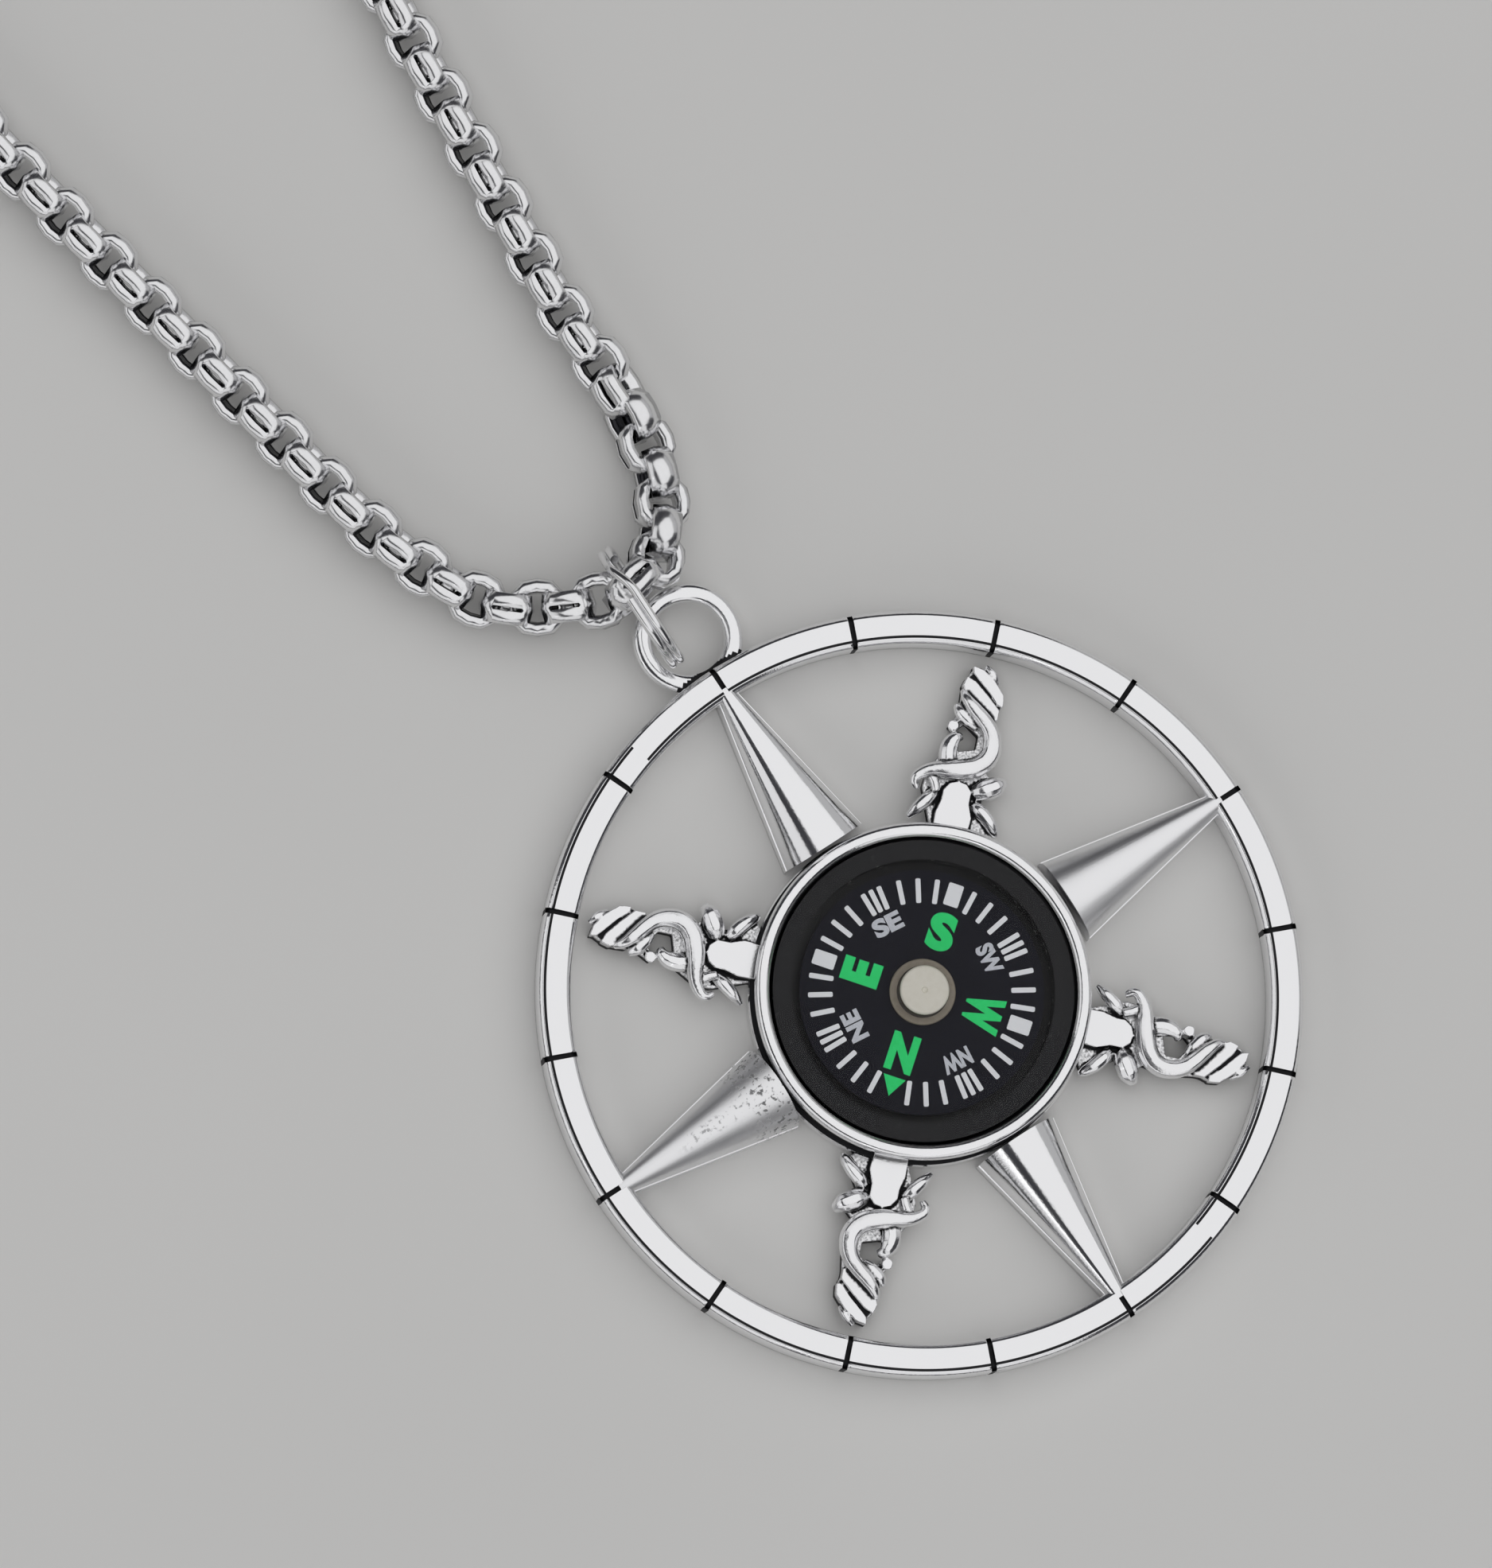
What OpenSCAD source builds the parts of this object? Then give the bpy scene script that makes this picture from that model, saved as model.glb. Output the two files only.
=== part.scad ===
// Round openwork pendant with a working compass, on a rounded box chain.
// The pendant lies on its flat back: the origin is the middle of that back,
// +Y points to the eyelet and +Z points out of the compass dial.
// All lengths are in millimetres.

/* [Rim] */
// Outer diameter of the rim
rim_d = 45; // [42:0.5:52]
// Width of the rim, seen from the front
rim_w = 1.95; // [1.7:0.05:2.6]
// Thickness of the casting at the rim
rim_t = 2.5; // [2.2:0.1:3]
// Radius on the rim's outer edge
rim_round = 0.35; // [0.15:0.05:0.6]
// Width of the slope along the rim's inner edge
rim_slope_w = 0.5; // [0.2:0.05:0.7]
// Depth of the slope along the rim's inner edge
rim_slope_h = 0.7; // [0.3:0.1:1.2]
// Bevel along both edges of the rim's back
rim_bevel = 0.2; // [0.1:0.05:0.3]
// Number of grooves across the rim
groove_n = 16; // [8:4:24]
// Width of a groove
groove_w = 0.28; // [0.2:0.02:0.5]
// Depth of a groove below the rim's face
groove_h = 0.4; // [0.2:0.05:0.8]

/* [Spikes] */
// Number of spikes, with a scrolled arm between each two
ray_n = 4; // [3:1:5]
// Width of a spike where it leaves the cup
spike_w = 5.3; // [3.5:0.1:6]
// Width of a spike where it enters the rim
spike_tip_w = 1; // [0.8:0.1:1.6]
// Height of a spike's upright wall at the cup
spike_wall_h = 1.3; // [0.8:0.1:1.6]
// Height of a spike's upright wall at the rim
spike_tip_h = 2; // [1.4:0.1:2.1]
// Narrow ledge along both sides of a spike
spike_ledge = 0.2; // [0.1:0.05:0.35]
// Slot between the cup and a spike's upper end
spike_slot = 0.35; // [0.2:0.05:0.8]

/* [Scrolled arms] */
// Gap between an arm's tip and the rim
arm_gap = 0.6; // [0.3:0.1:1.5]
// Width of an arm from leaf tip to leaf tip
arm_w = 6; // [4.5:0.1:6.5]
// Half thickness of the widest scroll
scroll_r = 0.85; // [0.6:0.05:1]
// Height of the scrolls' middle line above the back
scroll_z = 1.35; // [1.1:0.05:1.7]
// Thickness of the web behind the leaves
web_t = 1; // [0.6:0.1:1.4]

/* [Cup and bezel] */
// Diameter of the compass capsule
capsule_d = 17.7; // [16:0.1:19]
// Clearance round the capsule
capsule_fit = 0.15; // [0.05:0.05:0.3]
// Wall of the cup
cup_wall = 0.75; // [0.6:0.05:1]
// Floor of the cup
cup_floor = 0.7; // [0.5:0.05:1]
// Width of the foot round the cup
cup_foot_w = 0.15; // [0.1:0.05:0.3]
// Height of the foot round the cup
cup_foot_h = 1.2; // [0.6:0.1:1.6]
// Diameter of the bead on top of the cup
bezel_bead = 0.9; // [0.8:0.05:1.1]
// Height of the bezel above the back
bezel_h = 3.5; // [3.3:0.1:4.2]

/* [Compass] */
// Clearance under the capsule and under the lens
capsule_seat = 0.03; // [0.02:0.01:0.1]
// Floor of the capsule
capsule_floor = 0.45; // [0.3:0.05:0.6]
// Wall of the capsule
capsule_wall = 1.1; // [0.8:0.05:1.3]
// Thickness of the lens
lens_t = 0.45; // [0.3:0.05:0.6]
// Rise of the lens from its edge to its middle
lens_rise = 0.85; // [0.6:0.05:1.2]
// Height of the lens edge
lens_edge = 0.4; // [0.3:0.05:0.6]
// Clearance between the card's edge and the capsule's wall
card_clear = 0.55; // [0.3:0.05:0.9]
// Thickness of the card
card_t = 0.3; // [0.2:0.05:0.4]
// Height of the card's face above the back
card_z = 2.4; // [2.3:0.05:2.5]
// Diameter of the cap in the middle of the card
cap_d = 3.05; // [2.4:0.05:3.4]
// Diameter of the cap's flange
cap_flange_d = 3.9; // [3.5:0.05:4.4]
// Thickness of the cap's flange
cap_flange_t = 0.3; // [0.2:0.05:0.4]
// Height of the cap above the card
cap_h = 1.3; // [0.9:0.05:1.4]
// Thickness of metal over the pin's end in the cap
cap_roof = 0.3; // [0.2:0.05:0.4]
// Diameter of the pivot pin
pin_d = 0.7; // [0.5:0.05:0.9]
// Diameter of the pin's foot
pin_foot_d = 1.7; // [1.2:0.1:2.4]
// Thickness of the pin's foot
pin_foot_t = 0.3; // [0.2:0.05:0.4]
// Running clearance round the pin
pin_fit = 0.08; // [0.05:0.01:0.15]

/* [Eyelet] */
// Outer diameter of the eyelet
eyelet_d = 6.5; // [6:0.1:7]
// Thickness of the eyelet
eyelet_wire = 1.1; // [0.9:0.05:1.2]
// Free height under the eyelet, beyond the split ring's wire
eyelet_lift = 0.3; // [0.2:0.05:0.5]
// Depth to which the eyelet sinks into the rim
eyelet_sink = 0.9; // [0.6:0.05:1]

/* [Split ring] */
// Outer diameter of the split ring
ring_d = 8.1; // [7.8:0.1:8.8]
// Thickness of the ring's wire
ring_wire = 0.54; // [0.4:0.02:0.6]
// Lean of the ring from upright
ring_lean = 10; // [0:1:15]
// Place of the ring to the left of the pendant's middle line
ring_side = 1.75; // [1.3:0.05:2]
// Distance by which the ring's middle lies beyond the eyelet's wire
ring_slip = 0.45; // [0.2:0.05:0.6]

/* [Chain and clasp] */
// Width of the chain across its links
chain_w = 3.4; // [3:0.1:3.5]
// Outer diameter of the small rings at the clasp
end_ring_d = 4.9; // [4.5:0.1:5.5]
// Thickness of the small rings' wire
end_ring_wire = 0.7; // [0.5:0.05:0.8]
// Width of the clasp's body
clasp_w = 5.6; // [4.6:0.2:6.4]
// Wall of the clasp's body and eyes
clasp_wall = 0.9; // [0.7:0.1:1.2]
// Thickness of the clasp's body
clasp_t = 3.6; // [3:0.1:4]
// Thickness of the clasp's eyes
clasp_eye_t = 1.2; // [0.9:0.1:1.4]
// Small gap between pieces that are held together
seat_gap = 0.1; // [0.05:0.01:0.2]

/* [Hidden] */
$fn = 96;

rim_r = rim_d / 2;
rim_in = rim_r - rim_w;
cup_in = capsule_d / 2 + capsule_fit;
bead_step = 0.02;
cup_r = cup_in + bead_step + bezel_bead;
capsule_z = cup_floor + capsule_seat;
lens_z = bezel_h - lens_edge;
lens_ball = (pow(capsule_d / 2, 2) + lens_rise * lens_rise) / (2 * lens_rise);
lens_top = bezel_h + lens_rise;
pin_top = card_z + cap_h - cap_roof - seat_gap;
card_r = capsule_d / 2 - capsule_wall - card_clear;
card_bore = pin_d / 2 + pin_fit;
card_gap = 0.02;
eyelet_r = (eyelet_d - eyelet_wire) / 2;
eyelet_y = rim_r + eyelet_d / 2 - eyelet_sink;
eyelet_z = eyelet_lift + ring_wire + eyelet_wire / 2;
ring_r = ring_d / 2 - ring_wire / 2;
// The ring's two turns are pressed together, so that they are a little less than a wire apart
ring_step = 0.92 * ring_wire;
ring_z = ring_d / 2 * cos(ring_lean) + ring_wire * sin(ring_lean);
// The ring stands over the point where its plane crosses the eyelet's wire
ring_cross_x = ring_side - (ring_z - eyelet_z) * tan(ring_lean);
ring_y = eyelet_y + sqrt(eyelet_r * eyelet_r - ring_cross_x * ring_cross_x) + ring_slip;
end_ring_r = (end_ring_d - end_ring_wire) / 2;
tube_step = 2.65 * chain_w;
silver = [0.78, 0.79, 0.82];
steel = [0.66, 0.67, 0.7];

// One scrolled arm, as strips that taper and bend. A strip is a list of rows:
// how far along the arm (0 at the cup, 1 at the tip), how far to the side
// (1 is half of arm_w), its thickness (1 is scroll_r) and its rise (1 is scroll_z).
arm_strips = [
    // stem: from the side curl round the open bend and into the flame
    [[0.20, 0.80, 0.32, 0.85], [0.26, 0.90, 0.42, 0.90], [0.31, 0.76, 0.56, 1.00], [0.35, 0.48, 0.70, 1.10],
     [0.38, 0.14, 0.82, 1.15], [0.42, -0.20, 0.90, 1.15], [0.48, -0.40, 0.90, 1.10], [0.55, -0.42, 0.86, 1.10],
     [0.63, -0.26, 0.76, 1.20]],
    // flame, inner lobe
    [[0.58, -0.30, 0.65, 1.10], [0.64, -0.10, 0.78, 1.25], [0.70, 0.12, 0.78, 1.30], [0.77, 0.30, 0.64, 1.20],
     [0.85, 0.38, 0.34, 0.90]],
    // flame, middle lobe
    [[0.64, -0.32, 0.62, 1.00], [0.72, -0.12, 0.82, 1.30], [0.80, 0.10, 0.84, 1.35], [0.88, 0.22, 0.68, 1.20],
     [0.95, 0.20, 0.36, 0.90]],
    // flame, outer lobe
    [[0.72, -0.46, 0.50, 0.85], [0.80, -0.42, 0.68, 1.10], [0.88, -0.20, 0.72, 1.20], [0.95, 0.00, 0.55, 1.05],
     [1.00, 0.12, 0.26, 0.80]],
    // hook inside the bend
    [[0.37, 0.26, 0.52, 1.00], [0.43, 0.42, 0.62, 1.10], [0.49, 0.44, 0.58, 1.15], [0.53, 0.32, 0.46, 1.10],
     [0.53, 0.20, 0.28, 1.00]],
    // broad tongue at the cup
    [[-0.05, 0.14, 0.90, 0.90], [0.06, 0.10, 1.15, 1.00], [0.16, 0.06, 1.20, 1.05], [0.26, 0.02, 1.05, 1.05],
     [0.32, 0.02, 0.60, 0.90]],
    // fold along the tongue
    [[-0.04, 0.38, 0.50, 1.00], [0.08, 0.42, 0.56, 1.15], [0.20, 0.44, 0.56, 1.20], [0.30, 0.50, 0.46, 1.10]],
    // upper side leaf
    [[0.20, 0.40, 0.42, 0.80], [0.13, 0.66, 0.52, 0.90], [0.08, 0.80, 0.46, 0.85], [0.03, 0.94, 0.22, 0.70]],
    // lower broad leaf
    [[0.22, -0.22, 0.60, 0.80], [0.26, -0.45, 0.74, 1.00], [0.30, -0.66, 0.70, 1.00], [0.37, -0.84, 0.30, 0.80]],
    // lower curled leaf
    [[0.16, -0.22, 0.44, 0.80], [0.13, -0.52, 0.56, 0.95], [0.07, -0.74, 0.52, 0.90], [0.00, -0.90, 0.24, 0.75]]
];

// Flat web that ties the leaves of an arm together: along and to the side, as in arm_strips
arm_web = [[-0.05, 0.45], [0.12, 0.62], [0.22, 0.74], [0.32, 0.72], [0.46, 0.48], [0.42, 0.20], [0.48, -0.12],
           [0.58, -0.12], [0.65, 0.20], [0.56, 0.38], [0.60, 0.50], [0.72, 0.28], [0.80, 0.30], [0.92, 0.14],
           [0.86, -0.22], [0.72, -0.38], [0.52, -0.50], [0.38, -0.40], [0.32, -0.62], [0.22, -0.40],
           [0.12, -0.60], [0.02, -0.74], [-0.05, -0.45]];

// The knob between the hook and the flame: along, to the side, thickness and rise, as in arm_strips
arm_knob = [0.585, 0.42, 0.42, 1.3];

// The chain's middle line, with its second column measured from the rim's outer edge: from the
// clasp down the left strand, through the split ring, and up the right strand back to the clasp
chain_rows = [
    [-14, 261, 2.2], [-32, 256.5, 1.7], [-50, 243.5, 1.7], [-62, 222.5, 1.7], [-66, 196.5, 1.7],
    [-62, 170.5, 1.7], [-51, 144.5, 1.7], [-38, 117.5, 1.7], [-28, 89.5, 1.7], [-21.5, 65.5, 1.7],
    [-18, 46.5, 1.7], [-16.6, 39.5, 1.7], [-15.2, 32.5, 1.7], [-13.9, 26, 1.7], [-12.5, 19.2, 1.7],
    [-11.2, 14.9, 1.7], [-9, 10.5, 1.7], [-6.6, 8.6, 1.8], [-4.2, 7.2, 2.5], [-1.75, 6.55, 3.4],
    [0.5, 7, 3], [2.4, 9, 2.1], [3.8, 11.7, 1.7], [4.5, 16.5, 1.7], [4.4, 22.5, 1.7],
    [4.8, 28.5, 1.7], [5.3, 35.5, 1.7], [6, 43.5, 1.7], [9, 65.5, 1.7], [15, 89.5, 1.7],
    [25, 116.5, 1.7], [36, 142.5, 1.7], [47, 169.5, 1.7], [52, 196.5, 1.7], [48, 223.5, 1.7],
    [36, 244.5, 1.7], [20, 257, 1.7], [4, 261, 2.2]
];
chain_route = [for (row = chain_rows) [row[0], rim_r + row[1], row[2]]];
// The highest row lies in the split ring, and the two halves of the chain meet there
chain_top = max([for (row = chain_rows) row[2]]);
chain_meet = [for (i = [0:len(chain_rows) - 1]) if (chain_rows[i][2] == chain_top) i][0];

function unit(v) = v / norm(v);
function ring_of(c, t, r, n) =
    let (side = unit(cross(t, [0, 0, 1])), up = cross(side, t))
    [for (k = [0:n - 1]) let (a = 360 * (k + 0.5) / n) c + r * (cos(a) * side + sin(a) * up)];
function bend(a, b, c, d, t) =
    (2 * b + (c - a) * t + (2 * a - 5 * b + 4 * c - d) * t * t + (3 * b - a - 3 * c + d) * t * t * t) / 2;
function bend_dir(a, b, c, d, t) =
    unit((c - a) + 2 * (2 * a - 5 * b + 4 * c - d) * t + 3 * (3 * b - a - 3 * c + d) * t * t);
function tube_faces(rings, n) = concat(
    [[for (k = [n - 1:-1:0]) k]],
    [for (i = [0:rings - 2], k = [0:n - 1]) [i * n + k, i * n + (k + 1) % n, (i + 1) * n + (k + 1) % n]],
    [for (i = [0:rings - 2], k = [0:n - 1]) [i * n + k, (i + 1) * n + (k + 1) % n, (i + 1) * n + k]],
    [[for (k = [0:n - 1]) (rings - 1) * n + k]]);

// A tube through the rows of the route from row a to row b
module route_tube(a, b, r, sides, spacing) {
    p = chain_route;
    last = len(p) - 1;
    rings = [
        for (i = [a:b - 1])
            let (n = ceil(norm(p[i + 1] - p[i]) / spacing))
            for (k = [0:n - 1])
                let (q = [p[max(i - 1, 0)], p[i], p[i + 1], p[min(i + 2, last)]], t = k / n)
                ring_of(bend(q[0], q[1], q[2], q[3], t), bend_dir(q[0], q[1], q[2], q[3], t), r, sides),
        let (q = [p[b - 1], p[b], p[min(b + 1, last)]])
        ring_of(p[b], unit(q[2] - q[0]), r, sides)
    ];
    polyhedron([for (ring = rings) each ring], tube_faces(len(rings), sides), convexity = 10);
}

// The rows of a strip as points and radii in an arm's own frame, x along the arm
arm_l = rim_in - arm_gap - cup_r;
function strip_point(row) = [cup_r + row[0] * arm_l, row[1] * arm_w / 2, row[3] * scroll_z];
module strip(rows, sides = 8) {
    p = [for (row = rows) strip_point(row)];
    r = [for (row = rows) row[2] * scroll_r];
    last = len(rows) - 1;
    rings = [for (i = [0:last])
        ring_of(p[i], unit(p[min(i + 1, last)] - p[max(i - 1, 0)]), r[i], sides)];
    polyhedron([for (ring = rings) each ring], tube_faces(last + 1, sides), convexity = 4);
}

module scrolled_arm() {
    for (rows = arm_strips) strip(rows);
    linear_extrude(web_t)
        polygon([for (row = arm_web) [cup_r + row[0] * arm_l, row[1] * arm_w / 2]]);
    translate([cup_r + arm_knob[0] * arm_l, arm_knob[1] * arm_w / 2, 0])
        cylinder(h = arm_knob[3] * scroll_z, r = arm_knob[2] * scroll_r, $fn = 32);
}

module spike() {
    start = cup_r + spike_slot;
    reach = rim_in + rim_w / 3;
    run = reach - start;
    slope = atan((spike_tip_h - spike_wall_h) / run);
    cone_r = spike_w / 2 - spike_ledge;
    tip_r = spike_tip_w / 2 - spike_ledge / 2;
    // rounded upper part
    intersection() {
        translate([start, 0, spike_wall_h])
            rotate([0, 90 - slope, 0])
                cylinder(h = run / cos(slope), r1 = cone_r, r2 = tip_r);
        translate([0, -spike_w, spike_wall_h / 2])
            cube([rim_r, 2 * spike_w, rim_d]);
    }
    // upright walls below it, which run into the cup
    intersection() {
        linear_extrude(rim_t)
            polygon([[cup_in + cup_wall / 2, -spike_w / 2], [start, -spike_w / 2], [reach, -spike_tip_w / 2],
                     [reach, spike_tip_w / 2], [start, spike_w / 2], [cup_in + cup_wall / 2, spike_w / 2]]);
        rotate([90, 0, 0])
            linear_extrude(2 * spike_w, center = true)
                polygon([[0, 0], [0, spike_wall_h], [start, spike_wall_h], [reach, spike_tip_h], [reach, 0]]);
    }
}

module rim() {
    difference() {
        rotate_extrude($fn = 180) {
            polygon([[rim_in, rim_bevel], [rim_in + rim_bevel, 0], [rim_r - rim_bevel, 0], [rim_r, rim_bevel],
                     [rim_r, rim_t - rim_round], [rim_r - rim_round, rim_t - rim_round],
                     [rim_r - rim_round, rim_t], [rim_in + rim_slope_w, rim_t], [rim_in, rim_t - rim_slope_h]]);
            translate([rim_r - rim_round, rim_t - rim_round]) circle(r = rim_round, $fn = 48);
        }
        for (k = [0:groove_n - 1])
            rotate(90 + k * 360 / groove_n)
                translate([rim_in - rim_w, -groove_w / 2, rim_t - groove_h])
                    cube([3 * rim_w, groove_w, 2 * groove_h]);
    }
}

module cup() {
    bead = bezel_bead / 2;
    rotate_extrude($fn = 144) {
        square([cup_r + cup_foot_w, cup_floor]);
        translate([cup_in, 0]) square([cup_wall, bezel_h - bead]);
        translate([cup_in, 0]) square([cup_r + cup_foot_w - cup_in, cup_foot_h]);
        translate([cup_r - bead, bezel_h - bead]) circle(r = bead, $fn = 48);
    }
}

module eyelet() {
    translate([0, eyelet_y, eyelet_z])
        rotate_extrude()
            translate([eyelet_r, 0]) circle(d = eyelet_wire, $fn = 32);
}

module pendant_frame() {
    color(silver) {
        rim();
        cup();
        eyelet();
        for (k = [0:ray_n - 1]) {
            rotate(90 + k * 360 / ray_n) spike();
            rotate(90 + (k + 0.5) * 360 / ray_n) scrolled_arm();
        }
    }
}

module capsule_body() {
    color([0.06, 0.06, 0.07])
        translate([0, 0, capsule_z])
            difference() {
                cylinder(h = lens_z - capsule_z - capsule_seat, d = capsule_d);
                translate([0, 0, capsule_floor])
                    cylinder(h = lens_z, d = capsule_d - 2 * capsule_wall);
            }
}

module capsule_lens() {
    ball_z = lens_top - lens_ball;
    color([0.85, 0.88, 0.9, 0.35])
        difference() {
            intersection() {
                translate([0, 0, lens_z]) cylinder(h = lens_top, d = capsule_d);
                translate([0, 0, ball_z]) sphere(r = lens_ball, $fn = 240);
            }
            intersection() {
                translate([0, 0, ball_z]) sphere(r = lens_ball - lens_t, $fn = 240);
                cylinder(h = 2 * lens_top, d = capsule_d - 2 * capsule_wall);
            }
        }
}

module pivot_pin() {
    pin_z = capsule_z + capsule_floor + capsule_seat;
    color(steel)
        translate([0, 0, pin_z]) {
            cylinder(h = pin_top - pin_z, d = pin_d);
            cylinder(h = pin_foot_t, d = pin_foot_d);
        }
}

module compass_card() {
    color([0.08, 0.08, 0.1])
        translate([0, 0, card_z - card_t])
            difference() {
                cylinder(h = card_t, r = card_r);
                translate([0, 0, -1]) cylinder(h = card_t + 2, r = card_bore);
            }
}

module card_cap() {
    base = card_z + card_gap;
    color([0.85, 0.8, 0.72])
        difference() {
            union() {
                translate([0, 0, base]) cylinder(h = cap_flange_t, d = cap_flange_d);
                translate([0, 0, base]) cylinder(h = cap_h, d = cap_d);
            }
            translate([0, 0, base - 1]) cylinder(h = 1 + cap_h - cap_roof, r = card_bore);
        }
}

module split_ring() {
    color(steel)
        translate([-ring_side, ring_y, ring_z])
            rotate([0, -ring_lean, 0])
                rotate([0, 90, 0])
                    rotate_extrude()
                        for (side = [-1, 1])
                            translate([ring_r, side * ring_step / 2]) circle(d = ring_wire, $fn = 32);
}

module chain_left() {
    color(steel) route_tube(0, chain_meet, chain_w / 2, 8, tube_step);
}

module chain_right() {
    color(steel) route_tube(chain_meet, len(chain_route) - 1, chain_w / 2, 8, tube_step);
}

// The clasp and its rings lie between the two ends of the chain
left_end = chain_route[0];
right_end = chain_route[len(chain_route) - 1];

module end_ring() {
    rotate([90, 0, 0])
        rotate_extrude()
            translate([end_ring_r, 0]) circle(d = end_ring_wire, $fn = 32);
}

module clasp_ring() {
    color(steel) translate([left_end[0] + end_ring_d / 2 + seat_gap, left_end[1], end_ring_d / 2]) end_ring();
}

module tail_ring() {
    color(steel) translate([right_end[0] - end_ring_d / 2 - seat_gap, right_end[1], end_ring_d / 2]) end_ring();
}

// An eye reaches inside each small ring, which has its wire in the eye's hole.
// The closed body between the eyes is a plain oval with a hole.
module clasp() {
    eye_r = end_ring_wire / 2 + 2 * seat_gap;
    reach = end_ring_d / 2 + seat_gap + end_ring_r;
    x0 = left_end[0] + reach;
    x1 = right_end[0] - reach;
    body_r = clasp_w / 2;
    slot_r = body_r - clasp_wall;
    color(steel)
        translate([0, left_end[1], 0]) {
            difference() {
                union() {
                    for (x = [x0 + body_r, x1 - body_r])
                        translate([x, 0, 0]) cylinder(h = clasp_t, r = body_r);
                    translate([x0 + body_r, -body_r, 0]) cube([x1 - x0 - 2 * body_r, clasp_w, clasp_t]);
                }
                translate([(x0 + x1) / 2, 0, -1]) cylinder(h = clasp_t + 2, r = slot_r);
                for (x = [x0, x1])
                    translate([x, 0, -1]) cylinder(h = clasp_t + 2, r = eye_r + clasp_wall - seat_gap);
            }
            for (x = [x0, x1])
                translate([x, 0, end_ring_d / 2 - clasp_eye_t / 2])
                    difference() {
                        cylinder(h = clasp_eye_t, r = eye_r + clasp_wall, $fn = 48);
                        translate([0, 0, -1]) cylinder(h = clasp_eye_t + 2, r = eye_r, $fn = 48);
                    }
        }
}

pendant_frame();
capsule_body();
capsule_lens();
pivot_pin();
compass_card();
card_cap();
split_ring();
chain_left();
chain_right();
clasp();
clasp_ring();
tail_ring();
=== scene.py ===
# %% [markdown]
# # A compass pendant on a box chain
# This lesson dresses a finished metal-and-plastic model of a necklace. The model gives every
# piece its place, its size and the body that it moves with, and this script gives the pieces
# their rounded edges, their ornament and their finish. All lengths in the tables are in
# millimetres, because a jewel is measured so, and one factor turns them into metres.

# %% Load the model
import math

import bmesh
import bpy
from mathutils import Matrix, Vector


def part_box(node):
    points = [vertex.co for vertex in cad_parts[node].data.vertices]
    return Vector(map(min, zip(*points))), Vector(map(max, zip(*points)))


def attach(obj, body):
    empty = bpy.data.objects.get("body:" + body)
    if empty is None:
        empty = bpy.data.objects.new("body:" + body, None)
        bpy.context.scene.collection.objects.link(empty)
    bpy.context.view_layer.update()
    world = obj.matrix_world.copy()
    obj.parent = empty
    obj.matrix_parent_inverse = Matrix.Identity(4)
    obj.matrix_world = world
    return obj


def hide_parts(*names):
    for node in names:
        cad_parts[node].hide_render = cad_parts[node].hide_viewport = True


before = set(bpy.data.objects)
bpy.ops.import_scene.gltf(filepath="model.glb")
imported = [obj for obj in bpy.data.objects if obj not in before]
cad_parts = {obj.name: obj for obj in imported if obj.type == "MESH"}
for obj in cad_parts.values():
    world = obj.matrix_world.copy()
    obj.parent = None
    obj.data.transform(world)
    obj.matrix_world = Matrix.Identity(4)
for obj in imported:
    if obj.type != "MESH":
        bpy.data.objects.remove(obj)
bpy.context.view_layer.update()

MM = 0.001
same_place = 0.001  # mm: points nearer than this are one point
bpy.ops.object.select_all(action="DESELECT")
print("nodes:", sorted(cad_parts))

# %% [markdown]
# ## The camera
# The pendant was photographed from almost straight above, with a long lens, so that its circles
# stay nearly round. The camera leans ten degrees to the pendant's left, which shows a little of
# each outer wall on that side. A roll turns the picture, and the eyelet then points to the upper left.

# %% Camera
lens_length = 300.0
camera_tilt = math.radians(10.0)
camera_side = math.radians(196.9)
camera_roll = math.radians(-32.46)
camera_distance = 762 * MM
aim = Vector((-2.0, 15.78, 2.5)) * MM

to_camera = Vector((math.sin(camera_tilt) * math.cos(camera_side),
                    math.sin(camera_tilt) * math.sin(camera_side), math.cos(camera_tilt)))
right = Vector((math.cos(camera_roll), math.sin(camera_roll), 0))
right = (right - to_camera * right.dot(to_camera)).normalized()
turned = Matrix((right, to_camera.cross(right), to_camera)).transposed()
bpy.ops.object.camera_add(location=aim + to_camera * camera_distance, rotation=turned.to_euler())
camera = bpy.context.object
camera.data.lens = lens_length
camera.data.clip_end = 20
bpy.context.scene.camera = camera
print("camera at", [round(x / MM) for x in camera.location], "mm")

# %% [markdown]
# ## Small tools
# An operator works on what is chosen, so choosing comes first: one object alone, or the faces of a
# mesh that lie at a certain place and look a certain way. Each step becomes a short function, so
# that the cells below read like the steps that a modeller takes by hand.

# %% Tools for choosing
def only(*pieces):
    """Select these objects alone and make the first one active."""
    bpy.ops.object.select_all(action="DESELECT")
    for piece in pieces:
        piece.select_set(True)
    bpy.context.view_layer.objects.active = pieces[0]


def settle(name):
    """Name the active object and move its place, turn and scale into its mesh."""
    piece = bpy.context.object
    piece.name = name
    piece.data.name = name
    bpy.ops.object.transform_apply(location=True, rotation=True, scale=True)
    return piece


def edit(piece):
    """Open one object in edit mode with nothing selected."""
    only(piece)
    bpy.ops.object.mode_set(mode="EDIT")
    bpy.ops.mesh.select_all(action="DESELECT")


def close():
    bpy.ops.object.mode_set(mode="OBJECT")


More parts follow.
